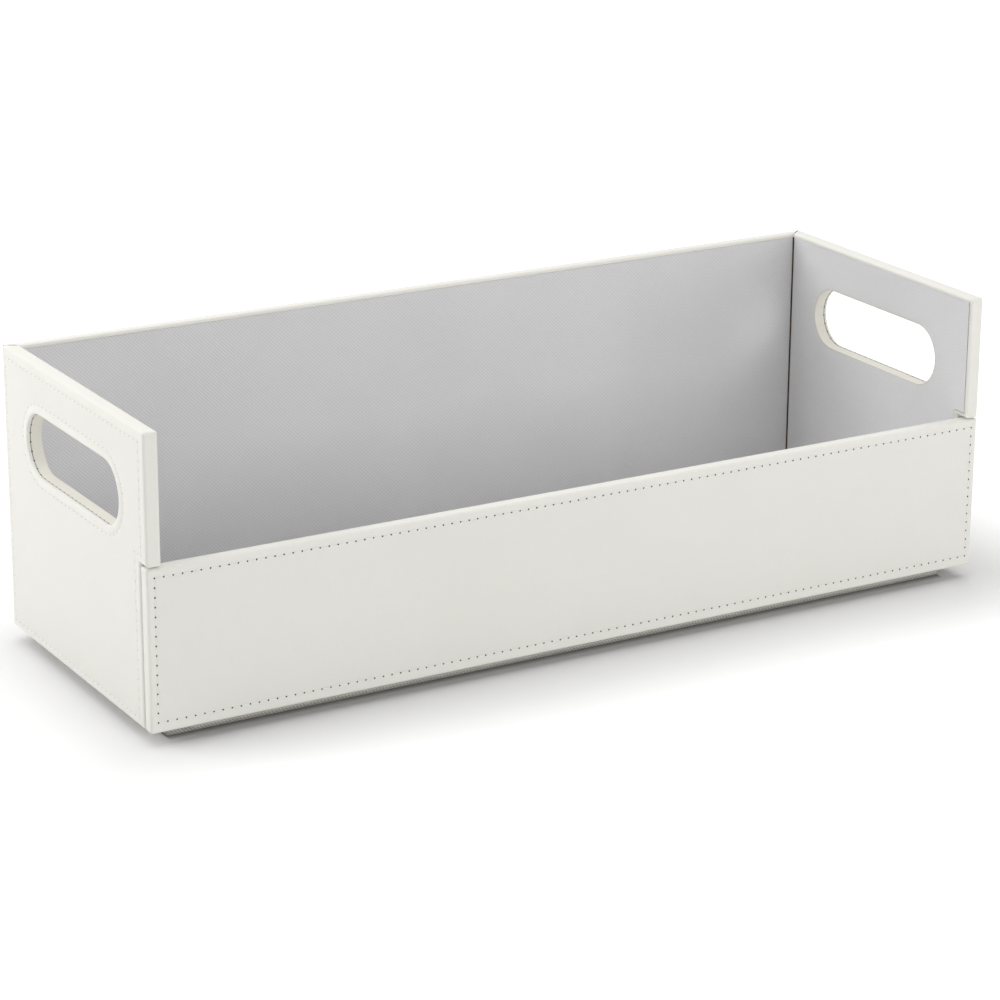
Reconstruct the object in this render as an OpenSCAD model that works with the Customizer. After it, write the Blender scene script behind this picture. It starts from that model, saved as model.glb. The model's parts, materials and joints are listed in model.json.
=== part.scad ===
// Open storage box for disc cases: leatherette-wrapped panels with a grey cloth lining,
// a hand hole in each end, and a low front flap that drops forward on a cloth hinge.
// +Z is up, the front is at -Y, and the origin is under the middle of the box.

/* [Overall] */
// Outer length, from end face to end face
box_l = 448; // [300:1:600]
// Outer depth, from the flap's face to the back
box_w = 156; // [140:1:220]
// Height of the walls, from their lower edge to the rim
wall_h = 138; // [120:0.5:200]

/* [Panels] */
// Thickness of an end panel, with its cover and lining
end_t = 7.2; // [6.5:0.1:12]
// Thickness of the back panel, with its cover and lining
back_t = 5.4; // [4.5:0.1:12]
// Thickness of the leatherette
cover_t = 0.8; // [0.5:0.1:1.2]
// Thickness of the lining cloth
lining_t = 0.6; // [0.4:0.1:1]
// Radius of every wrapped edge
edge_r = 1.4; // [1:0.1:2]
// Leatherette turned in below the rim, on the inside
rim_turn = 2; // [1.6:0.2:10]
// Open seam where two panels meet at a back corner
mitre_gap = 0.8; // [0.1:0.1:1.2]

/* [Hand holes] */
// Length of a hand hole
hole_l = 102; // [70:1:115]
// Height of a hand hole, which has full round ends
hole_h = 30.5; // [22:0.5:40]
// From the rim down to the top of a hand hole
hole_drop = 22.7; // [12:0.1:30]
// Thickness of the leatherette band round the inside of a hand hole
sleeve_t = 0.8; // [0.5:0.1:1.5]
// Radius of the rolled outer edge of a hand hole
hole_roll = 0.6; // [0.2:0.1:0.7]

/* [Flap] */
// Height of the flap
flap_h = 76.5; // [50:0.5:84]
// Thickness of the flap, with its cover and lining
flap_t = 6.4; // [5:0.1:6.5]
// Gap between the closed flap and the end panels, above and behind it
flap_gap = 0.9; // [0.4:0.1:1.5]
// Leatherette turned in round the back of the flap
flap_turn = 6; // [3:0.5:15]
// Leatherette turned in round the notch that takes the flap
notch_turn = 1.2; // [0.8:0.1:6]

/* [Base] */
// Height of the plinth that the box stands on
plinth_h = 6.8; // [6.6:0.1:12]
// From an end face in to the plinth
plinth_in_end = 12; // [9:0.5:30]
// From the flap's face in to the plinth
plinth_in_front = 10.5; // [10:0.5:20]
// From the back in to the plinth
plinth_in_back = 10; // [6:0.5:30]
// Thickness of the bottom board
bottom_t = 4.6; // [1.5:0.1:6]
// Gap between the bottom board and the closed flap
bottom_gap = 0.3; // [0.2:0.1:1]

/* [Hinge] */
// Thickness of the hinge cloth
cloth_t = 0.5; // [0.3:0.1:0.8]
// Width of hinge cloth glued under the flap
flap_leaf = 4.5; // [2:0.5:4.5]
// Width of hinge cloth glued under the bottom board
floor_leaf = 20; // [10:1:40]
// Half of the free cloth at the fold
fold_gap = 0.6; // [0.5:0.1:1]
// From an end of the plinth in to the end of the hinge cloth
hinge_in = 8; // [2:1:40]

/* [Closure] */
// Diameter of a magnet
magnet_d = 4.4; // [3:0.1:4.6]
// Depth of a magnet
magnet_t = 3; // [2:0.5:6]
// Clearance round a magnet
magnet_gap = 0.1; // [0.05:0.05:0.2]
// Width of a strike plate
plate_w = 4.6; // [3:0.1:4.8]
// Height of a strike plate
plate_h = 24; // [10:1:30]
// Thickness of a strike plate
plate_t = 1; // [0.5:0.1:2]
// From the flap's top edge down to the middle of the closure
closure_drop = 18; // [16:0.5:25]

/* [Hidden] */
$fn = 64;
// Cuts reach this far past the faces they cut
past = 1;
ivory = "#E6E5DC";
lining_grey = "#DCDBDC";
cloth_brown = "#D4CCC3";
board_brown = "#6E5947";
steel = "#9FA3A8";
// Faces of the box, for the left end
x_out = -box_l / 2;
x_in = x_out + end_t;
y_front = -box_w / 2;
y_back = box_w / 2;
y_back_in = y_back - back_t;
z_low = plinth_h;
z_rim = z_low + wall_h;
// Faces of the boards inside their cover and lining
x_board = x_out + cover_t;
x_board_in = x_in - lining_t;
y_board = y_back - cover_t;
y_board_in = y_back_in + lining_t;
z_board = z_low + cover_t;
board_h = wall_h - 2 * cover_t;
// The flap at rest, and the notch that it closes into
y_flap_in = y_front + flap_t;
notch_d = flap_t + flap_gap;
notch_h = flap_h + flap_gap;
// The hand hole's middle
z_hole = z_rim - hole_drop - hole_h / 2;
// The closure's middle, in the thickness of the end board
x_closure = (x_board + x_board_in) / 2;
z_closure = z_low + flap_h - closure_drop;
// Inside of the box
inner_l = box_l - 2 * end_t;
y_floor = y_flap_in + bottom_gap;
floor_w = y_back_in - y_floor;
// The plinth
plinth_l = box_l - 2 * plinth_in_end;
y_plinth = y_front + plinth_in_front;
plinth_w = box_w - plinth_in_front - plinth_in_back;
// Half the length of the hinge cloth
x_hinge = plinth_l / 2 - hinge_in;

// A rectangle from the origin with round corners
module round_rect(w, h, r) {
    translate([r, 0]) square([w - 2 * r, h]);
    translate([0, r]) square([w, h - 2 * r]);
    for (u = [r, w - r], v = [r, h - r]) translate([u, v]) circle(r);
}

// A slot with full round ends, round the origin
module slot(l, h) {
    square([l - h, h], center = true);
    for (s = [-1, 1]) translate([s * (l - h) / 2, 0]) circle(h / 2);
}

// Extrudes an outline drawn in Y and Z along +X
module along_x(length) {
    rotate([90, 0, 90]) linear_extrude(length) children();
}

// Extrudes an outline drawn in X and Z along +Y
module along_y(length) {
    translate([0, length, 0]) rotate([90, 0, 0]) linear_extrude(length) children();
}

// A block between two opposite corners
module block(low, high) {
    translate(low) cube(high - low);
}

// The part is drawn for the left end, and mirrored for the right one
module on_end(end) {
    if (end == "right") mirror([1, 0, 0]) children();
    else children();
}

// Plan of the whole box
module box_plan() {
    translate([x_out, y_front]) round_rect(box_l, box_w, edge_r);
}

// Plan of an end panel from a given front edge: that edge is round, and the back is mitred
module end_plan(y_edge) {
    intersection() {
        box_plan();
        union() {
            translate([x_out, y_edge]) round_rect(end_t, 4 * edge_r, edge_r);
            polygon([[x_out, y_edge + edge_r], [x_in, y_edge + edge_r],
                     [x_in, y_back_in - mitre_gap], [x_out, y_back - mitre_gap]]);
        }
    }
}

// Plan of the back panel, mitred at both ends
module back_plan() {
    intersection() {
        box_plan();
        polygon([[x_out, y_back], [x_in, y_back_in], [-x_in, y_back_in], [-x_out, y_back]]);
    }
}

// A slab of an end panel, from a given front edge and lower edge to the mitre and the rim
module end_slab(y_edge, z_edge) {
    intersection() {
        translate([0, 0, z_edge]) linear_extrude(z_rim - z_edge) end_plan(y_edge);
        translate([x_out, y_edge, z_edge]) along_y(box_w) round_rect(end_t, z_rim - z_edge, edge_r);
    }
}

// The finished outside of an end panel, with its notch and before its hand hole
module end_form() {
    end_slab(y_front, z_low + notch_h);
    end_slab(y_front + notch_d, z_low);
}

// The finished outside of the back panel
module back_form() {
    intersection() {
        translate([0, 0, z_low]) linear_extrude(wall_h) back_plan();
        translate([x_out, y_back_in, z_low]) along_x(box_l) round_rect(back_t, wall_h, edge_r);
    }
}

// The finished outside of the flap, with round edges all about
module flap_form() {
    intersection() {
        translate([x_out, y_front, z_low]) along_x(box_l) round_rect(flap_t, flap_h, edge_r);
        translate([x_out, y_front, z_low]) along_y(flap_t) round_rect(box_l, flap_h, edge_r);
        translate([x_out, y_front, z_low]) linear_extrude(flap_h) round_rect(box_l, flap_t, edge_r);
    }
}

// The notch in an end panel's lower front corner, grown by a layer
module notch(grow = 0) {
    block([x_out - past, y_front - past, z_low - past],
          [x_in + past, y_front + notch_d + grow, z_low + notch_h + grow]);
}

// The hand hole through an end panel, grown by a layer
module hand_hole(grow = 0) {
    translate([x_out - past, 0, z_hole]) along_x(end_t + 2 * past)
        slot(hole_l + 2 * grow, hole_h + 2 * grow);
}

// Half of what the rolled edge of a hand hole cuts: out from the hole's middle, in from the face
module roll_section() {
    reach = hole_h / 2 + hole_roll;
    difference() {
        translate([0, -past]) square([reach, hole_roll + past]);
        translate([reach, hole_roll]) circle(hole_roll);
    }
}

// What the rolled edge of a hand hole takes off the face of an end panel
module hole_edge() {
    translate([x_out, 0, z_hole]) rotate([0, 90, 0]) {
        for (s = [-1, 1]) translate([0, s * (hole_l - hole_h) / 2, 0]) rotate_extrude() roll_section();
        translate([0, (hole_h - hole_l) / 2, 0]) along_y(hole_l - hole_h) {
            roll_section();
            mirror([1, 0]) roll_section();
        }
    }
}

// Space inside an end panel's cover and lining, open at the mitre
module end_core() {
    block([x_board, y_front + cover_t, z_board], [x_board_in, y_back + past, z_board + board_h]);
}

// Space of an end panel's lining
module end_lining_space() {
    block([x_board_in, y_front + edge_r, z_low - past],
          [x_in + past, y_back + past, z_rim - rim_turn]);
}

// Magnet lying along Y behind the notch, grown by a clearance
module magnet(grow = 0) {
    translate([x_closure, y_front + notch_d + cover_t, z_closure])
        rotate([-90, 0, 0]) cylinder(d = magnet_d + 2 * grow, h = magnet_t);
}

// Strike plate let into the back of the flap's board
module strike_plate() {
    block([x_closure - plate_w / 2, y_flap_in - lining_t - plate_t, z_closure - plate_h / 2],
          [x_closure + plate_w / 2, y_flap_in - lining_t, z_closure + plate_h / 2]);
}

module end_board(end) {
    color(board_brown) on_end(end) difference() {
        intersection() {
            end_core();
            translate([0, 0, z_low]) linear_extrude(wall_h) end_plan(y_front);
        }
        notch(cover_t);
        hand_hole(sleeve_t);
        magnet(magnet_gap);
    }
}

// Leatherette over the notch's two faces, turned in on the inside of the panel
module notch_facing(end) {
    color(ivory) on_end(end) intersection() {
        end_form();
        union() {
            intersection() {
                notch(cover_t);
                block([x_board, y_front + cover_t, z_low - past], [x_in, y_back, z_rim]);
            }
            intersection() {
                notch(cover_t + notch_turn);
                block([x_board_in, y_front + edge_r, z_low - past], [x_in, y_back, z_rim]);
            }
        }
    }
}

// Leatherette over the face, rim, front and lower edges of an end panel
module end_cover(end) {
    color(ivory) on_end(end) difference() {
        end_form();
        end_core();
        end_lining_space();
        hand_hole();
        hole_edge();
        intersection() {
            notch(cover_t);
            block([x_board, y_front + cover_t, z_low - past], [x_in + past, y_back, z_rim]);
        }
    }
}

module end_lining(end) {
    color(lining_grey) on_end(end) difference() {
        intersection() {
            end_form();
            end_lining_space();
        }
        notch(cover_t + notch_turn);
        hand_hole(sleeve_t);
    }
}

// Band round the inside of a hand hole, behind the edge of the cover
module handle_sleeve(end) {
    color(ivory) on_end(end) intersection() {
        difference() {
            hand_hole(sleeve_t);
            hand_hole();
        }
        block([x_board, y_front, z_low], [x_in, y_back, z_rim]);
    }
}

module end_magnet(end) {
    color(steel) on_end(end) magnet();
}

// Space inside the back panel's cover and lining, open at both mitres
module back_core() {
    block([x_out - past, y_board_in, z_board], [past - x_out, y_board, z_board + board_h]);
}

// Space of the back panel's lining
module back_lining_space() {
    block([x_out - past, y_back_in - past, z_low - past],
          [past - x_out, y_board_in, z_rim - rim_turn]);
}

module back_board() {
    color(board_brown) intersection() {
        back_core();
        translate([0, 0, z_low]) linear_extrude(wall_h) back_plan();
    }
}

module back_cover() {
    color(ivory) difference() {
        back_form();
        back_core();
        back_lining_space();
    }
}

module back_lining() {
    color(lining_grey) intersection() {
        back_form();
        back_lining_space();
    }
}

// Space of the flap's board
module flap_core() {
    block([x_board, y_front + cover_t, z_board],
          [-x_board, y_flap_in - lining_t, z_low + flap_h - cover_t]);
}

// Space of the flap's lining, inside the turned-in leatherette
module flap_lining_space(reach = 0) {
    block([x_in + flap_turn, y_flap_in - lining_t, z_low + flap_turn],
          [-x_in - flap_turn, y_flap_in + reach, z_low + flap_h - flap_turn]);
}

module flap_board() {
    color(board_brown) difference() {
        flap_core();
        for (end = ["left", "right"]) on_end(end) strike_plate();
    }
}

module flap_cover() {
    color(ivory) difference() {
        flap_form();
        flap_core();
        flap_lining_space(past);
    }
}

module flap_lining() {
    color(lining_grey) flap_lining_space();
}

module flap_plate(end) {
    color(steel) on_end(end) strike_plate();
}

// Hinge cloth under the flap, up to the fold
module hinge_flap_leaf() {
    color(cloth_brown) block([-x_hinge, y_flap_in - edge_r - flap_leaf, z_low - cloth_t],
                             [x_hinge, y_flap_in - edge_r / 2, z_low]);
}

// Space of the hinge cloth under the bottom board, from the fold back over the plinth
module floor_leaf_space() {
    block([-x_hinge, y_flap_in + fold_gap, z_low - cloth_t],
          [x_hinge, y_flap_in + fold_gap + floor_leaf, z_low]);
}

module hinge_floor_leaf() {
    color(cloth_brown) floor_leaf_space();
}

module bottom_board() {
    color(board_brown) translate([-inner_l / 2, y_floor, z_low]) cube([inner_l, floor_w, bottom_t]);
}

module floor_lining() {
    color(lining_grey) translate([-inner_l / 2, y_floor, z_low + bottom_t])
        cube([inner_l, floor_w, lining_t]);
}

// The plinth's outside, with round corners and a rebate for the hinge cloth
module plinth_form(inset = 0) {
    difference() {
        translate([-plinth_l / 2 + inset, y_plinth + inset, inset]) linear_extrude(plinth_h - inset)
            round_rect(plinth_l - 2 * inset, plinth_w - 2 * inset, edge_r);
        floor_leaf_space();
    }
}

module plinth_board() {
    color(board_brown) plinth_form(lining_t);
}

module plinth_wrap() {
    color(cloth_brown) difference() {
        plinth_form();
        plinth_form(lining_t);
    }
}

plinth_board();
plinth_wrap();
bottom_board();
floor_lining();
hinge_floor_leaf();
end_board("left");  // left_end_board
end_cover("left");  // left_end_cover
end_lining("left");  // left_end_lining
notch_facing("left");  // left_notch_facing
handle_sleeve("left");  // left_handle_sleeve
end_magnet("left");  // left_magnet
end_board("right");  // right_end_board
end_cover("right");  // right_end_cover
end_lining("right");  // right_end_lining
notch_facing("right");  // right_notch_facing
handle_sleeve("right");  // right_handle_sleeve
end_magnet("right");  // right_magnet
back_board();
back_cover();
back_lining();
flap_board();
flap_cover();
flap_lining();
hinge_flap_leaf();
flap_plate("left");  // left_strike_plate
flap_plate("right");  // right_strike_plate
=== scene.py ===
# A long open box for disc cases: boards wrapped in ivory leatherette, a grey cloth lining,
# a hand hole in each end, and a low front flap that drops forward on a cloth hinge.
import json
import math

import bmesh
import bpy
from mathutils import Matrix, Vector


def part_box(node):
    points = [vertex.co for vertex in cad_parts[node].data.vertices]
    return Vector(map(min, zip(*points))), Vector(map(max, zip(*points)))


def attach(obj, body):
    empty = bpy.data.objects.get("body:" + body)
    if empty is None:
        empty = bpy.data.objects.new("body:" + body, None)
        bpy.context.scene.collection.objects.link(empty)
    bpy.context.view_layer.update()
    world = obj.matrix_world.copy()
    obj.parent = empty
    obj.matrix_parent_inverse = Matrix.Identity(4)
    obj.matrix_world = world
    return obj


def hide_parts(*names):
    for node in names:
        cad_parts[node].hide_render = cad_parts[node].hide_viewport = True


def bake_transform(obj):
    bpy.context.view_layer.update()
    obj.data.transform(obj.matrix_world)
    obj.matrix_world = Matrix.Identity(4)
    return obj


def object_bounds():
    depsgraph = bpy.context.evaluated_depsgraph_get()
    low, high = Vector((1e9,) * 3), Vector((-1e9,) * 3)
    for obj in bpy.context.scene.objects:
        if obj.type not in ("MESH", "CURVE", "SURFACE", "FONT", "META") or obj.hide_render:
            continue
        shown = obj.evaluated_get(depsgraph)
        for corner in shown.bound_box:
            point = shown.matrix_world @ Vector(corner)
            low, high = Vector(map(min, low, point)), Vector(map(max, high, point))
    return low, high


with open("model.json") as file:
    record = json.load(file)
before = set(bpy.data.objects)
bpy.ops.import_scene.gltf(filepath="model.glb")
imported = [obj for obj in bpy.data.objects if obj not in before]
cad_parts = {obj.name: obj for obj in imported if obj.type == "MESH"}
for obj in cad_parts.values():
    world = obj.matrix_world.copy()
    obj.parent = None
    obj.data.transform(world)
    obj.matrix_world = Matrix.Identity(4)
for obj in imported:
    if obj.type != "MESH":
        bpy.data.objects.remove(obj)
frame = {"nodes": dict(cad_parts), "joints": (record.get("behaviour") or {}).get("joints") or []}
cad_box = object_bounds()
nodes = frame["nodes"]
mm = 0.001

# Boards: dark hardboard sawn to size, which gives every panel its shape. Cloth and leatherette
# are glued over all of it but the edges inside the open seams at the back corners.


class Value:
    """A number that varies over a surface. Arithmetic on it adds Math nodes."""

    def __init__(self, finish, socket):
        self.finish, self.socket = finish, socket

    def __add__(self, other):
        return self.finish.math("ADD", self, other)

    def __sub__(self, other):
        return self.finish.math("SUBTRACT", self, other)

    def __rsub__(self, other):
        return self.finish.math("SUBTRACT", other, self)

    def __mul__(self, other):
        return self.finish.math("MULTIPLY", self, other)

    def __truediv__(self, other):
        return self.finish.math("DIVIDE", self, other)

    def __abs__(self):
        return self.finish.math("ABSOLUTE", self)

    def __lt__(self, other):
        return self.finish.math("LESS_THAN", self, other)

    __radd__ = __add__
    __rmul__ = __mul__


class Finish:
    """A material, or the world, with its surface node and the nodes behind it."""

    def __init__(self, name, store=bpy.data.materials, surface="Principled BSDF", **settings):
        self.made = store.new(name)
        self.made.use_nodes = True
        self.tree = self.made.node_tree
        self.surface = self.tree.nodes[surface]
        self.dress(**settings)

    def feed(self, socket, value):
        if isinstance(value, Value):
            self.tree.links.new(value.socket, socket)
        elif socket.type == "RGBA":
            socket.default_value = (*value, 1)
        else:
            socket.default_value = value

    def dress(self, **sockets):
        """Sets or links sockets of the surface node."""
        for socket, value in sockets.items():
            self.feed(self.surface.inputs[socket.replace("_", " ")], value)
        return self.made

    def node(self, kind, settings=None, sockets=None):
        """Adds a node, and gives its outputs as values by name."""
        node = self.tree.nodes.new(kind)
        for key, value in (settings or {}).items():
            setattr(node, key, value)
        for key, value in (sockets or {}).items():
            self.feed(node.inputs[key], value)
        return {output.identifier: Value(self, output) for output in node.outputs}

    def math(self, operation, *numbers):
        return self.node("ShaderNodeMath", {"operation": operation}, dict(enumerate(numbers)))["Value"]

    def mix(self, factor, first, second):
        """Mixes two colours. A Mix node keeps its factor at 0 and its two colours at 6 and 7."""
        sockets = {0: factor, 6: first, 7: second}
        return self.node("ShaderNodeMix", {"data_type": "RGBA"}, sockets)["Result_Color"]

    def ease(self, value, low, high, start=0.0, end=1.0):
        """Goes smoothly from start, where value is low, to end, where it is high."""
        sockets = {"Value": value, "From Min": low, "From Max": high, "To Min": start, "To Max": end}
        return self.node("ShaderNodeMapRange", {"interpolation_type": "SMOOTHSTEP"}, sockets)["Result"]

    def axes(self, vector):
        split = self.node("ShaderNodeSeparateXYZ", sockets={"Vector": vector})
        return split["X"], split["Y"], split["Z"]

    def place(self):
        return self.node("ShaderNodeTexCoord")["Object"]

    def scaled(self, vector, scale):
        return self.node("ShaderNodeMapping", sockets={"Vector": vector, "Scale": scale})["Vector"]

    def noise(self, vector, scale, detail=3.0):
        sockets = {"Vector": vector, "Scale": scale, "Detail": detail}
        return self.node("ShaderNodeTexNoise", sockets=sockets)["Fac"]

    def wear(self, colour, roughness, height, depth):
        """Puts the varying colour, roughness and relief on the surface."""
        bump = self.node("ShaderNodeBump", sockets={"Height": height, "Distance": depth})
        return self.dress(Base_Color=colour, Roughness=roughness, Normal=bump["Normal"])


def hardboard():
    finish = Finish("hardboard")
    place = finish.place()
    fibres = finish.noise(finish.scaled(place, (1, 1, 6)), 900, 5)
    blotches = finish.noise(place, 60)
    colour = finish.mix(fibres, (0.10, 0.065, 0.04), (0.22, 0.15, 0.095))
    colour = finish.mix(blotches * 0.4, colour, (0.14, 0.09, 0.055))
    return finish.wear(colour, 0.75 + 0.2 * fibres, fibres, 0.1 * mm)


board = hardboard()
for panel in ("plinth", "bottom", "left_end", "right_end", "back", "flap"):
    nodes[f"{panel}_board"].material_slots[0].material = board

# Plinth wrap: grey-brown twill drawn tight round the plinth's board and glued under it, with a
# slot in front for the hinge cloth. A narrow strip of it shows in the shadow under the flap.


def twill(name, warp, weft, yarn, shade):
    """Cloth in a two-and-two twill, laid out on the piece's cloth map in metres.
    shade is how dark the hollows between its yarns are painted, as the shade that falls in them."""
    finish = Finish(name, Sheen_Weight=0.2, Sheen_Roughness=0.5)
    cloth = finish.node("ShaderNodeUVMap", {"uv_map": "cloth"})["UV"]
    u, v, _ = finish.axes(cloth)
    sway = (finish.noise(cloth, 180, 2) - 0.5) * 0.9
    ends, picks = u / yarn + sway, v / yarn - sway
    end, pick = finish.math("FLOOR", ends), finish.math("FLOOR", picks)
    over = finish.math("FRACT", (end + pick) * 0.25) < 0.5
    round_end = finish.math("SINE", (ends - end) * math.pi)
    round_pick = finish.math("SINE", (picks - pick) * math.pi)
    height = over * round_end + (1 - over) * (round_pick * 0.85)
    lot = finish.node("ShaderNodeTexWhiteNoise", {"noise_dimensions": "1D"},
                      {"W": end + 0.37 * pick})["Value"]
    slub = finish.noise(cloth, 2500, 2)
    cloudy = finish.noise(cloth, 14, 2)
    hollow = tuple(0.72 * c for c in weft)
    colour = finish.mix(over, weft, warp)
    # The hollows between the yarns are painted darker, by the yarns' height, as the shade in them.
    colour = finish.mix(finish.ease(height, 0.0, 0.6, shade, 0.0), colour, hollow)
    colour = finish.mix((lot + slub) * (0.3 * shade), colour, tuple(min(1.0, 1.2 * c) for c in warp))
    colour = finish.mix(finish.ease(cloudy, 0.35, 0.65, 0.0, 0.08), colour, hollow)
    return finish.wear(colour, 0.95 - 0.15 * height, height + slub * 0.4, 0.9 * shade * yarn)


def lay_cloth(bm):
    """Maps a piece of cloth in metres, on the plane that each of its faces lies nearest to."""
    layer = bm.loops.layers.uv.new("cloth")
    for face in bm.faces:
        flat = max(range(3), key=lambda axis: abs(face.normal[axis]))
        u, v = [axis for axis in range(3) if axis != flat]
        for loop in face.loops:
            loop[layer].uv = loop.vert.co[u], loop.vert.co[v]


def piece(name, bm, *materials, smooth=False):
    """Makes an object of a finished bmesh. Smooth shading stops at its sharp edges."""
    sharp = 0.6
    for face in bm.faces:
        face.smooth = smooth
    for edge in bm.edges:
        edge.smooth = edge.calc_face_angle(0.0) < sharp
    mesh = bpy.data.meshes.new(name)
    bm.to_mesh(mesh)
    bm.free()
    for material in materials:
        mesh.materials.append(material)
    made = bpy.data.objects.new(name, mesh)
    bpy.context.scene.collection.objects.link(made)
    return made


def slab(low, high):
    """A block between two corners."""
    bm = bmesh.new()
    size, middle = Vector(high) - Vector(low), (Vector(high) + Vector(low)) / 2
    bmesh.ops.create_cube(bm, size=1, matrix=Matrix.Translation(middle) @ Matrix.Diagonal((*size, 1)))
    return bm


def round_edges(bm, edges, radius, segments):
    bmesh.ops.bevel(bm, geom=list(edges), offset=radius, offset_type="OFFSET", segments=segments, profile=0.5,
                    affect="EDGES", clamp_overlap=True, material=-1)


def cut_out(made, tool):
    """Takes the tool's shape out of a piece."""
    cutter = piece("cutter", tool)
    cut = made.modifiers.new("cut", "BOOLEAN")
    cut.object, cut.operation, cut.solver = cutter, "DIFFERENCE", "EXACT"
    mesh = bpy.data.meshes.new_from_object(made.evaluated_get(bpy.context.evaluated_depsgraph_get()))
    made.modifiers.clear()
    made.data = mesh
    bpy.data.objects.remove(cutter)


base_cloth = twill("base_twill", (0.93, 0.87, 0.79), (0.50, 0.455, 0.40), 0.44 * mm, 0.9)
plinth_low, plinth_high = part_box("plinth_wrap")
wrap_t = 0.6 * mm
upright_r, foot_r = 1.4 * mm, 0.9 * mm
touch = 0.001 * mm
bm = slab(plinth_low, plinth_high)
uprights = [e for e in bm.edges if abs(e.verts[0].co.z - e.verts[1].co.z) > touch]
round_edges(bm, uprights, upright_r, 5)
round_edges(bm, [e for e in bm.edges if all(v.co.z < plinth_low.z + touch for v in e.verts)], foot_r, 4)
bmesh.ops.delete(bm, geom=[f for f in bm.faces if f.normal.z > 0.9], context="FACES")
bmesh.ops.solidify(bm, geom=bm.faces[:], thickness=wrap_t)
bmesh.ops.recalc_face_normals(bm, faces=bm.faces)
lay_cloth(bm)
plinth_wrap = piece("plinth_cloth", bm, base_cloth)
leaf_low, leaf_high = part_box("hinge_floor_leaf")
above = Vector((0, 0, 1 * mm))
cut_out(plinth_wrap, slab(leaf_low, leaf_high + above))
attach(plinth_wrap, "box")
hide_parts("plinth_wrap")

# Hinge cloth: one strip of the same twill, glued under the bottom board and under the flap.
# It lies flat, with cuts across it along the flap's lower inner edge.
leaf_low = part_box("hinge_flap_leaf")[0]
hinge_t = leaf_high.z - leaf_low.z
fold_y = frame["joints"][0]["pos_m"][1]
fold_half = 1.1 * mm
fold_step = 0.2 * fold_half
fold_steps = 6
near, far = leaf_low.y, leaf_high.y
corners = ((leaf_low.x, near), (leaf_high.x, near), (leaf_high.x, far), (leaf_low.x, far))
bm = bmesh.new()
bm.faces.new([bm.verts.new((x, y, leaf_high.z)) for x, y in corners])
for step in range(-fold_steps, fold_steps + 1):
    bmesh.ops.bisect_plane(bm, geom=bm.verts[:] + bm.edges[:] + bm.faces[:], dist=0.1 * touch,
                           plane_co=(0, fold_y + step * fold_step, 0), plane_no=(0, 1, 0))
bmesh.ops.solidify(bm, geom=bm.faces[:], thickness=hinge_t)
lay_cloth(bm)
hinge_cloth = piece("hinge_cloth", bm, base_cloth)
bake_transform(hinge_cloth)
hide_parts("hinge_flap_leaf", "hinge_floor_leaf")

# Floor lining: fine grey twill, glued on the bottom board and cut just short of the walls. It is
# turned down over the board's front edge, which shows when the flap is open.
lining_cloth = twill("lining_twill", (0.885, 0.878, 0.883), (0.77, 0.763, 0.77), 0.45 * mm, 0.3)
lining_gap = 0.3 * mm
rim_gap = 0.1 * mm
lining_edge = 0.2 * mm
turned_t = 0.22 * mm
turned_short = 0.2 * mm


def drawn_out(outline, reach):
    """A solid with a flat outline, drawn out along reach."""
    bm = bmesh.new()
    face = bm.faces.new([bm.verts.new(point) for point in outline])
    moved = bmesh.ops.extrude_face_region(bm, geom=[face])["geom"]
    bmesh.ops.translate(bm, verts=[v for v in moved if isinstance(v, bmesh.types.BMVert)], vec=reach)
    bmesh.ops.recalc_face_normals(bm, faces=bm.faces)
    return bm


def lining(name, bm, inner_side, body):
    """Rounds the cut edges of a lining, lays its weave and sets it in its node's place."""
    node = f"{name}_lining"
    axis, sign = inner_side
    face_at = max(sign * v.co[axis] for v in bm.verts)
    rim = [e for e in bm.edges if e.is_manifold and e.calc_face_angle() > 0.8
           and all(sign * v.co[axis] > face_at - touch for v in e.verts)]
    round_edges(bm, rim, lining_edge, 2)
    lay_cloth(bm)
    made = piece(f"{name}_cloth", bm, lining_cloth)
    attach(made, body)
    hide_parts(node)


low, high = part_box("floor_lining")
left, back = low.x + rim_gap, high.y - lining_gap
front, foot = low.y - turned_t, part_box("bottom_board")[0].z + turned_short
profile = ((back, low.z), (back, high.z), (front, high.z), (front, foot), (low.y, foot), (low.y, low.z))
bm = drawn_out([(left, y, z) for y, z in profile], (-2 * left, 0, 0))
lining("floor", bm, (2, 1), "box")

# End covers: ivory leatherette drawn over the face, rim and edges of each end, and rounded at the
# top front corner. A stitched row follows the outline and another the hand hole. Its backing shows
# in the needle holes, between which the thread lies, and where its edges are cut to a mitre; it is
# painted near black there, as the shade in the holes and the open seams.
stitch_pitch = 4.45 * mm
needle_depth, needle_proud = 0.7 * mm, 0.1 * mm
needle_room = 0.5 * mm
thread_half, thread_high, thread_sunk = 0.31 * mm, 0.3 * mm, 0.12 * mm


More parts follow.
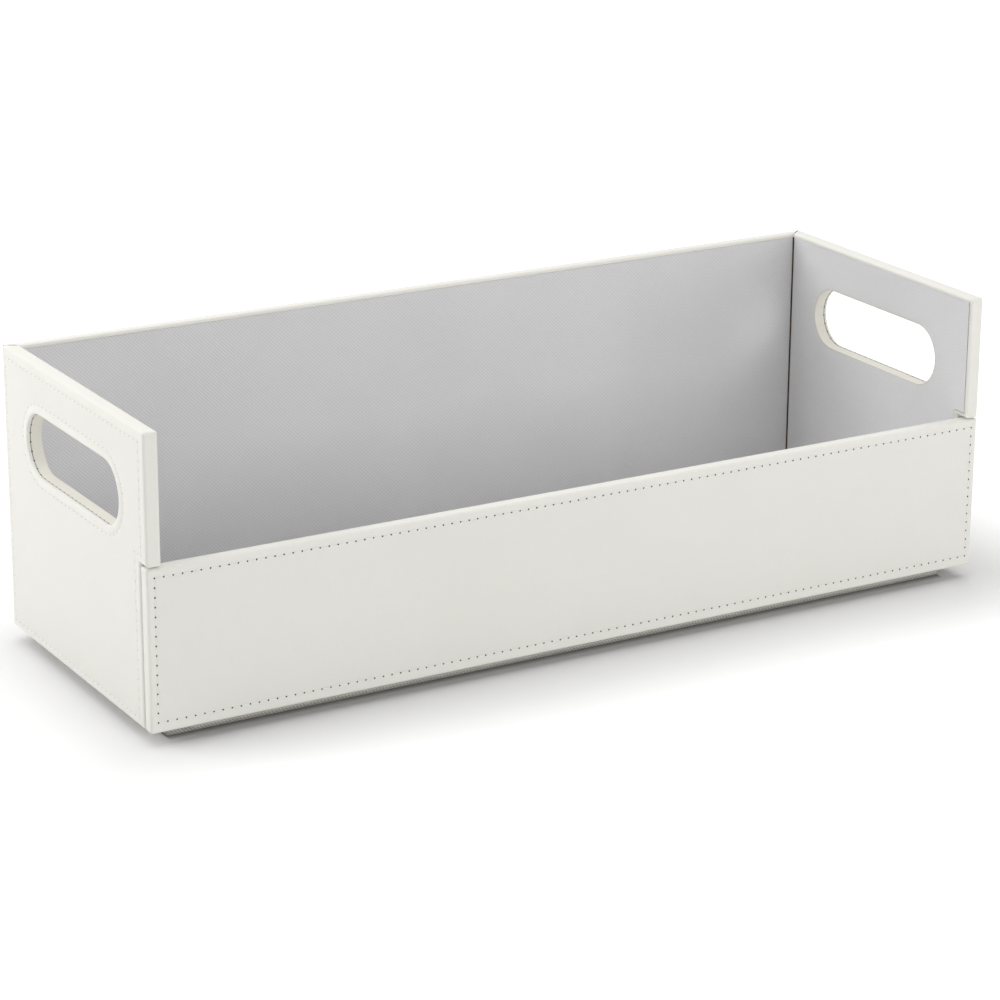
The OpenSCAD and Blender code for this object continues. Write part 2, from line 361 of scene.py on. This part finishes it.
def leatherette(name, seam=None, pale=(0.80, 0.793, 0.746), deep=(0.78, 0.772, 0.722)):
    """Coated cloth with a fine grain. seam gives the distance out from the stitched row."""
    finish = Finish(name, IOR=1.5)
    place = finish.place()
    waver = finish.node("ShaderNodeTexNoise", sockets={"Vector": place, "Scale": 700.0})["Color"]
    bent = finish.node("ShaderNodeVectorMath", {"operation": "MULTIPLY_ADD"},
                       {0: waver, 1: (0.6 * mm,) * 3, 2: place})["Vector"]
    cells = finish.node("ShaderNodeTexVoronoi", {"feature": "DISTANCE_TO_EDGE"},
                        {"Vector": bent, "Scale": 1250.0})["Distance"]
    grain = finish.ease(cells, 0.0, 0.22)
    pores = finish.noise(place, 5200, 2)
    cloudy = finish.noise(place, 22, 3)
    colour = finish.mix(finish.ease(cloudy, 0.3, 0.7, 0.0, 0.5), pale, deep)
    colour = finish.mix((1 - grain) * 0.06, colour, (0.66, 0.64, 0.58))
    height = 0.6 * grain + pores * 0.3
    roughness = 0.40 + 0.10 * cloudy + 0.06 * pores
    if seam:
        out = seam(finish, *finish.axes(place))
        rolled = finish.ease(out, 0.3 * mm, 2.2 * mm)
        colour = finish.mix(rolled * 0.4, colour, (0.83, 0.817, 0.755))
        roughness = roughness - 0.05 * rolled
        pull = finish.ease(abs(out), 0.0, 1.4 * mm)
        pucker = finish.noise(place, 420, 1)
        height = height + pull * (1.4 + 0.9 * pucker)
        # The stitched row's pressed-in valley is painted a little darker, as the shade in it.
        colour = finish.mix((1 - pull) * 0.03, colour, (0.62, 0.60, 0.54))
    return finish.wear(colour, roughness, height, 0.06 * mm)


# The leatherette's backing, painted near black as the shade in the needle holes and the open mitre seams.
def backing_painted_dark():
    finish = Finish("backing_painted_dark")
    fuzz = finish.noise(finish.place(), 6000, 2)
    return finish.wear(finish.mix(fuzz, (0.07, 0.065, 0.06), (0.16, 0.15, 0.135)), 0.9, fuzz, 0.05 * mm)


def twisted_thread():
    finish = Finish("thread")
    place = finish.place()
    x, y, z = finish.axes(place)
    lay = 0.55 * mm
    twist = finish.math("SINE", (x + y + z) * (2 * math.pi / lay))
    fuzz = finish.noise(place, 5000, 2)
    strands = finish.ease(twist, -1.0, 1.0, 0.0, 0.5) + fuzz * 0.3
    colour = finish.mix(strands, (0.92, 0.912, 0.87), (0.82, 0.81, 0.765))
    return finish.wear(colour, 0.6 + 0.2 * fuzz, twist + fuzz, 0.04 * mm)


backing_and_hole_shade = backing_painted_dark()
thread = twisted_thread()
mitre_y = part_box("back_cover")[0].y
corner_r, corner_cut = 1.8 * mm, 9 * mm


def copy_of(node):
    """A merged copy of a cover's mesh, with the backing at its edges that are cut to a mitre, painted dark
    there as the shade in the open seam.
    """
    bm = bmesh.new()
    bm.from_mesh(nodes[node].data)
    bmesh.ops.remove_doubles(bm, verts=bm.verts, dist=touch)
    for face in bm.faces:
        slanted = abs(face.normal.x) > 0.5 and abs(face.normal.y) > 0.7
        face.material_index = 1 if slanted and face.calc_center_median().y > mitre_y else 0
    return bm


def round_corner(made, corner, first, second, across):
    """Rounds a corner of a wrapped panel, from which first and second run along its edges."""
    spare, steps = 1 * mm, 8
    middle = corner + (first + second) * corner_r
    turns = [math.pi / 2 * k / steps for k in range(steps + 1)]
    outline = [corner - (first + second) * spare, corner + first * corner_r - second * spare]
    outline += [middle - (second * math.cos(turn) + first * math.sin(turn)) * corner_r for turn in turns]
    outline.append(corner + second * corner_r - first * spare)
    cut_out(made, drawn_out([point - across for point in outline], 2 * across))


def run(corners, out):
    """A closed stitched row through its corners: points a stitch apart, each with the way out."""
    row = []
    for start, end in zip(corners, corners[1:] + corners[:1]):
        start, end = Vector(start), Vector(end)
        count = round((end - start).length / stitch_pitch)
        row += [(start.lerp(end, k / count), out) for k in range(count)]
    return row


def seat(point, along, out):
    """The frame of a small shape that lies along a row, with its third axis out of the surface."""
    along, out = along.normalized(), out.normalized()
    return Matrix.Translation(point) @ Matrix((along, out.cross(along), out)).transposed().to_4x4()


def repeat(shape, places):
    """A bmesh with a copy of a small shape at each place."""
    unit = bpy.data.meshes.new("unit")
    shape.to_mesh(unit)
    shape.free()
    bm = bmesh.new()
    for place in places:
        one = unit.copy()
        one.transform(place)
        bm.from_mesh(one)
        bpy.data.meshes.remove(one)
    bpy.data.meshes.remove(unit)
    return bm


def pierce(made, row, radius):
    """Cuts the needle holes of a row, each a cone that narrows into the leatherette."""
    hole = bmesh.new()
    middle = Matrix.Translation((0, 0, (needle_proud - needle_depth) / 2))
    bmesh.ops.create_cone(hole, cap_ends=True, segments=8, radius1=0.6 * radius, radius2=radius,
                          depth=needle_depth + needle_proud, matrix=middle)
    # Each hole's walls take the backing, painted near black as the shade in the hole.
    for face in hole.faces:
        face.material_index = 1
    cut_out(made, repeat(hole, [seat(point, out.orthogonal(), out) for point, out in row]))


def sew(name, body, *rows):
    """Lays a stitch of thread between each two needle holes of closed rows."""
    places = []
    for row in rows:
        for (start, out), (end, _) in zip(row, row[1:] + row[:1]):
            half = (end - start).length / 2 - needle_room
            sunk = (start + end) / 2 - out * thread_sunk
            places.append(seat(sunk, end - start, out) @ Matrix.Diagonal((half, thread_half, thread_high, 1)))
    stitch = bmesh.new()
    lying = Matrix.Rotation(math.pi / 2, 4, "Y")
    bmesh.ops.create_uvsphere(stitch, u_segments=8, v_segments=6, radius=1, matrix=lying)
    stitching = piece(name, repeat(stitch, places), thread, smooth=True)
    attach(stitching, body)


end_low, end_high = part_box("left_end_cover")
hole_low, hole_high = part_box("left_handle_sleeve")
facing_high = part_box("left_notch_facing")[1]
facing_turn = 2.0 * mm
sleeve_t = 0.8 * mm
hole_r = (hole_high.z - hole_low.z) / 2 - sleeve_t
hole_z = (hole_high.z + hole_low.z) / 2
hole_half = (hole_high.y - hole_low.y) / 2 - sleeve_t - hole_r
row_top, row_front, row_back = end_high.z - 5.1 * mm, end_low.y + 5.2 * mm, end_high.y - 3.1 * mm
row_jog, row_low = facing_high.z - facing_turn + 4.0 * mm, end_low.z + 3.8 * mm
row_notch = facing_high.y - facing_turn + 4.6 * mm
ring_r = hole_r + 4.7 * mm
end_needle_r = 0.21 * mm


def end_seam(finish, x, y, z):
    """Distance out from the end's two rows: outside the outline row, or inside the hand hole's ring."""
    upper = finish.math("MAXIMUM", row_front - y, row_jog - z)
    lower = finish.math("MAXIMUM", row_notch - y, row_low - z)
    shared = finish.math("MAXIMUM", y - row_back, z - row_top)
    outline = finish.math("MAXIMUM", finish.math("MINIMUM", upper, lower), shared)
    along = finish.math("MAXIMUM", abs(y) - hole_half, 0.0)
    up = z - hole_z
    ring = ring_r - finish.math("SQRT", along * along + up * up)
    return finish.math("MAXIMUM", outline, ring)


def stadium(radius, side_x):
    """A stitched row round the hand hole, at a radius from its middle line: points a stitch apart,
    each with the way outward from the hole."""
    straight, bend = 2 * hole_half, math.pi * radius
    total = 2 * (straight + bend)
    count = round(total / stitch_pitch)
    points = []
    for k in range(count):
        far, half = divmod(k * total / count, straight + bend)
        sign = -1 if far else 1
        turn = max(0.0, half - straight) / radius
        away = Vector((0, sign * math.sin(turn), sign * math.cos(turn)))
        middle = Vector((side_x, sign * (min(half, straight) - hole_half), hole_z))
        points.append((middle + away * radius, away))
    return points


end_leather = leatherette("end_leatherette", end_seam)
back_way, down = Vector((0, 1, 0)), Vector((0, 0, -1))
sides = (("left", -1), ("right", 1))
for side, sign in sides:
    face_x = sign * abs(end_low.x)
    outward = Vector((sign, 0, 0))
    corners = ((row_front, row_top), (row_front, row_jog), (row_notch, row_jog), (row_notch, row_low),
               (row_back, row_low), (row_back, row_top))
    outline = run([(face_x, y, z) for y, z in corners], outward)
    ring = [(point, outward) for point, _ in stadium(ring_r, face_x)]
    cover = piece(f"{side}_end_leather", copy_of(f"{side}_end_cover"), end_leather, backing_and_hole_shade)
    pierce(cover, outline + ring, end_needle_r)
    round_corner(cover, Vector((face_x, end_low.y, end_high.z)), back_way, down, outward * corner_cut)
    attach(cover, "box")
    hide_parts(f"{side}_end_cover")
    sew(f"{side}_end_stitching", "box", outline, ring)

# Hand hole sleeves: the cover is puffed up round each hand hole and turned into it. A band of a
# slightly warmer leatherette lines the rest of the hole, with a sewn seam between the two.
band_leather = leatherette("band_leatherette", None, (0.78, 0.755, 0.68), (0.75, 0.725, 0.65))
# The seam's groove is painted dark, as the shade in it.
seam_groove_shade = leatherette("seam_groove_painted_shade", None, (0.43, 0.412, 0.362), (0.39, 0.372, 0.328))
# Section of the lip, seam and band in mm: in from the end's face, and back from the hole's surface
lip_section = ((0.3, 4.3), (-0.03, 4.1), (-0.12, 3.6), (-0.27, 2.9), (-0.38, 2.2), (-0.42, 1.6), (-0.38, 1.0),
               (-0.25, 0.5), (-0.03, 0.17), (0.35, 0.02), (0.8, 0), (1.25, 0))
seam_section = ((1.36, 0.08), (1.4, 0.4), (1.66, 0.4), (1.7, 0.08))
band_section = ((1.82, 0), (6.9, 0), (7.08, 0.05), (7.17, 0.15), (7.2, 0.3), (7.2, 0.78), (0.85, 0.78))
sleeve_section = lip_section + seam_section + band_section
sleeve_finish = [2] * len(lip_section) + [3] * len(seam_section) + [0] * len(band_section)
ring_sides = 96
seam_in = 1.53 * mm
seam_needle_r = 0.46 * mm


def hole_loop(bm, x, radius):
    """A loop with the outline of the hand hole."""
    turn = Matrix.Rotation(math.pi / 2, 4, "Y") @ Matrix.Rotation(math.pi / ring_sides, 4, "Z")
    verts = bmesh.ops.create_circle(bm, segments=ring_sides, radius=radius, matrix=turn)["verts"]
    for v in verts:
        v.co = Vector((x, v.co.y + math.copysign(hole_half, v.co.y), v.co.z + hole_z))
    return list({e for v in verts for e in v.link_edges})


for side, sign in sides:
    face_x = sign * abs(end_low.x)
    bm = bmesh.new()
    loops = [hole_loop(bm, face_x - sign * depth * mm, hole_r + back * mm) for depth, back in sleeve_section]
    for k in range(len(loops)):
        strip = bmesh.ops.bridge_loops(bm, edges=loops[k - 1] + loops[k])["faces"]
        for face in strip:
            face.material_index = sleeve_finish[k]
    bmesh.ops.recalc_face_normals(bm, faces=bm.faces)
    sleeve = piece(f"{side}_hole_band", bm, band_leather, backing_and_hole_shade, end_leather, seam_groove_shade, smooth=True)
    seam_row = [(point, -away) for point, away in stadium(hole_r, face_x - sign * seam_in)]
    pierce(sleeve, seam_row, seam_needle_r)
    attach(sleeve, "box")
    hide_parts(f"{side}_handle_sleeve")

# Notch facings: a strip of plain leatherette glued over the cut edge of each notch, and turned in
# on the inside of the end.
plain_leather = leatherette("plain_leatherette")
for side, _ in sides:
    nodes[f"{side}_notch_facing"].material_slots[0].material = plain_leather

# End linings: the same grey twill, cut round the hand hole and the notch facing. A fine open
# line is left between the cloth and the leatherette that is turned in at the front edge.
lining_t = 0.6 * mm
front_gap = 0.6 * mm
hole_gap = 0.03 * mm
punch_half = 2 * mm
for side, sign in sides:
    low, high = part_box(f"{side}_end_lining")
    inner = high.x if sign < 0 else low.x
    front, back = low.y + front_gap, high.y - lining_gap
    bottom, top = low.z + lining_gap, high.z - rim_gap
    step_y, step_z = facing_high.y + lining_gap, facing_high.z + lining_gap
    outline = ((front, top), (front, step_z), (step_y, step_z), (step_y, bottom), (back, bottom), (back, top))
    bm = drawn_out([(inner + sign * lining_t, y, z) for y, z in outline], (-sign * lining_t, 0, 0))
    blank = piece("blank", bm)
    punch = bmesh.new()
    rims = [hole_loop(punch, inner + away, hole_r + sleeve_t + hole_gap) for away in (-punch_half, punch_half)]
    bmesh.ops.bridge_loops(punch, edges=rims[0] + rims[1])
    bmesh.ops.holes_fill(punch, edges=punch.edges, sides=0)
    bmesh.ops.recalc_face_normals(punch, faces=punch.faces)
    cut_out(blank, punch)
    bm = bmesh.new()
    bm.from_mesh(blank.data)
    bpy.data.objects.remove(blank)
    area = sum(f.calc_area() for f in bm.faces if f.normal.x * -sign > 0.9)
    lining(f"{side}_end", bm, (0, -sign), "box")

# Back panel: leatherette over its outside and rim with a stitched row, grey twill inside. The two
# back corners are mitred. A narrow open seam shows there, with a fold of leatherette tucked into
# it under the rim.


def framed_seam(left, right, low_z, top_z):
    """Distance out from a row that follows a rectangle in X and Z."""
    def seam(finish, x, y, z):
        across = finish.math("MAXIMUM", left - x, x - right)
        return finish.math("MAXIMUM", across, finish.math("MAXIMUM", low_z - z, z - top_z))
    return seam


def wrapped(name, body, way, ends_in, foot_in, top_in, needle_r):
    """The leatherette of a long panel that faces one way in Y. Its stitched row runs at these
    distances in from the panel's ends, foot and top."""
    node = f"{name}_cover"
    low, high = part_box(node)
    face_y, out = high.y if way > 0 else low.y, Vector((0, way, 0))
    left, right, low_z, top_z = low.x + ends_in, high.x - ends_in, low.z + foot_in, high.z - top_in
    row = run([(x, face_y, z) for x, z in ((left, low_z), (right, low_z), (right, top_z), (left, top_z))], out)
    leather = leatherette(f"{name}_leatherette", framed_seam(left, right, low_z, top_z))
    made = piece(f"{name}_leather", copy_of(node), leather, backing_and_hole_shade)
    pierce(made, row, needle_r)
    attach(made, body)
    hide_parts(node)
    sew(f"{name}_stitching", body, row)


wrapped("back", "box", 1, ends_in=3.5 * mm, foot_in=3.8 * mm, top_in=5.1 * mm, needle_r=0.3 * mm)
low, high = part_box("back_lining")
back_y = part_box("back_cover")[1].y
seam_gap = 0.8 * mm
fold_low, fold_top = high.z - 0.2 * mm, end_high.z - 0.35 * mm
fold_in, fold_out = 0.25 * mm, 0.75 * mm
fold_r = 1.4 * mm
for side, sign in sides:
    inside = Vector((sign * abs(end_high.x), mitre_y - seam_gap / 2, (fold_low + fold_top) / 2))
    outside = Vector((sign * abs(end_low.x), back_y - seam_gap / 2, inside.z))
    along = (outside - inside).normalized()
    inside, outside = inside + along * fold_in, outside - along * fold_out
    size = ((outside - inside).length, seam_gap * abs(along.x), fold_top - fold_low, 1)
    bm = bmesh.new()
    bmesh.ops.create_cube(bm, size=1, matrix=seat((inside + outside) / 2, along, -down) @ Matrix.Diagonal(size))
    crests = [e for e in bm.edges if all(v.co.z > inside.z for v in e.verts)
              and abs((e.verts[0].co - e.verts[1].co).dot(along)) < touch]
    round_edges(bm, crests, fold_r, 5)
    fold = piece(f"{side}_corner_fold", bm, plain_leather, smooth=True)
    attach(fold, "box")
inner_x = abs(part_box("left_end_lining")[1].x) - lining_gap
bm = slab((-inner_x, low.y, low.z + lining_gap), (inner_x, high.y, high.z - rim_gap))
lining("back", bm, (1, -1), "box")

# Front flap: a board wrapped in leatherette on all its edges, with a stitched row on its face
# and grey twill on its back. It drops forward about its lower inner edge.
wrapped("flap", "flap", -1, ends_in=3.6 * mm, foot_in=5.1 * mm, top_in=4.3 * mm, needle_r=0.45 * mm)
low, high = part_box("flap_lining")
inset = Vector((lining_gap, 0, lining_gap))
lining("flap", slab(low + inset, high - inset), (1, 1), "flap")

# Closure: a round magnet in each end, behind its notch, and a steel plate let into the flap's
# board opposite it. Both are under the leatherette.


def plated_steel():
    finish = Finish("plated_steel", Metallic=1.0)
    lines = finish.noise(finish.scaled(finish.place(), (1, 1, 14)), 700, 4)
    colour = finish.mix(lines, (0.50, 0.51, 0.53), (0.62, 0.63, 0.65))
    return finish.wear(colour, 0.28 + 0.15 * lines, lines, 0.01 * mm)


steel = plated_steel()
for side, _ in sides:
    for fitting in ("magnet", "strike_plate"):
        nodes[f"{side}_{fitting}"].material_slots[0].material = steel

# Studio: a wide white floor, a soft box above and behind the box, one behind it on the left and a
# weaker one in front on the right. The floor has a painted shadow along the plinth's front and back,
# and the camera sees it glow, fading to white away from the box.
floor_r = 7.0
# How far the painted shadow along the plinth reaches out on the floor.
painted_foot_shadow_reach = 5.2 * mm
world_light = 0.3
aim = Vector((0, 0, 0.07))


def sighted(finish):
    """1 on what the camera sees straight, by reflection or through glass, and 0 on other light."""
    rays = finish.node("ShaderNodeLightPath")
    mirrored = finish.math("MAXIMUM", rays["Is Glossy Ray"], rays["Is Transmission Ray"])
    return finish.math("MAXIMUM", rays["Is Camera Ray"], mirrored)


def white_floor():
    finish = Finish("white_floor", Roughness=0.9, Emission_Strength=1.0)
    x, y, _ = finish.axes(finish.place())

    def past(coordinate, low, high):
        return finish.math("MAXIMUM", finish.math("MAXIMUM", low - coordinate, coordinate - high), 0.0)

    before, beside = past(y, plinth_low.y, plinth_high.y), past(x, plinth_low.x, plinth_high.x)
    # foot is a painted shadow on the floor along the plinth's front and back, dark at the plinth and gone a few
    # millimetres out; it is a fifth as wide past the plinth's ends.
    foot = finish.ease(before + 5 * beside, 0.0, painted_foot_shadow_reach)
    before, beside = past(y, cad_box[0].y, cad_box[1].y), past(x, cad_box[0].x, cad_box[1].x)
    off = finish.math("SQRT", beside * beside + before * before)
    glow = finish.ease(off, 0.0, 0.1, 0.01, 0.31) + finish.ease(off, 0.15, 1.0, 0.0, 0.4)
    # The base colour carries the painted shadow: dark grey at the plinth, pale further out.
    return finish.dress(Base_Color=finish.mix(foot, (0.28, 0.28, 0.28), (0.88, 0.88, 0.88)),
                        Emission_Color=finish.mix(sighted(finish) * glow, (0, 0, 0), (1, 1, 1)))


bm = bmesh.new()
bmesh.ops.create_circle(bm, cap_ends=True, segments=96, radius=floor_r)
floor = piece("floor", bm, white_floor())

sky = Finish("studio", bpy.data.worlds, "Background", Color=(1, 1, 1))
bpy.context.scene.world = sky.dress(Strength=world_light + (1 - world_light) * sighted(sky))

for name, place, width, height, power in (("above_behind", (0.0, 0.32, 1.5), 2.2, 2.2, 20.8),
                                          ("left_side", (-1.35, 0.55, 0.78), 1.0, 0.55, 9.8),
                                          ("front_right", (0.6, -1.5, 0.38), 1.3, 0.65, 9.5)):
    lamp = bpy.data.lights.new(name, "AREA")
    lamp.shape, lamp.size, lamp.size_y, lamp.energy = "RECTANGLE", width, height, power
    lit = bpy.data.objects.new(name, lamp)
    lit.location = place
    lit.rotation_euler = (aim - Vector(place)).to_track_quat("-Z", "Y").to_euler()
    bpy.context.scene.collection.objects.link(lit)

# Camera: a long lens in front of the box, left of its middle and above its rim, as in the
# photograph.
view = bpy.data.cameras.new("camera")
view.lens, view.sensor_width = 120, 36
camera = bpy.data.objects.new("camera", view)
yaw, pitch, roll = (math.radians(angle) for angle in (30.375, 18.693, 0.317))
camera.matrix_world = (Matrix.Translation((-0.7726, -1.3134, 0.5705)) @ Matrix.Rotation(-yaw, 4, "Z")
                       @ Matrix.Rotation(math.pi / 2 - pitch, 4, "X") @ Matrix.Rotation(roll, 4, "Z"))
bpy.context.scene.collection.objects.link(camera)
bpy.context.scene.camera = camera
bpy.context.scene.view_settings.view_transform = "Standard"
